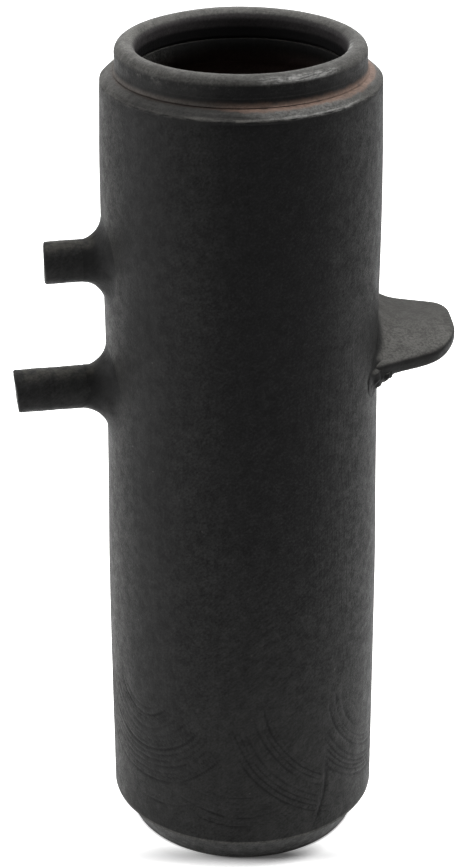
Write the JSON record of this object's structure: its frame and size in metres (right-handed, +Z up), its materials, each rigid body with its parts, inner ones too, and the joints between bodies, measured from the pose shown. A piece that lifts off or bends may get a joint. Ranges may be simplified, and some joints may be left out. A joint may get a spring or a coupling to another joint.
{
  "type": "vase",
  "caption": "Tall cylindrical vase of blackened clay on a tapered foot, with a thrown collar at the mouth, round pegs on one side and a flat ear on the other.",
  "frame": {"origin": "middle of the flat face that the foot rests on", "axes": "+Z up along the vase's axis, towards the mouth; the two pegs point along -X and the ear along +X"},
  "size_m": [0.2133, 0.131, 0.4028],
  "materials": {
    "blackened_clay": "unglazed, blackened in the kiln, scraped and lightly burnished, worn paler on edges",
    "luting_clay": "unglazed, blackened, wiped smooth by hand, warm brown where it is worn"
  },
  "bodies": {
    "root": {"foot": "blackened_clay", "body_cylinder": "blackened_clay", "collar": "blackened_clay", "upper_peg": "blackened_clay", "upper_peg_coil": "luting_clay", "lower_peg": "blackened_clay", "lower_peg_coil": "luting_clay", "ear": "blackened_clay", "ear_coil": "luting_clay"}
  },
  "joints": []
}
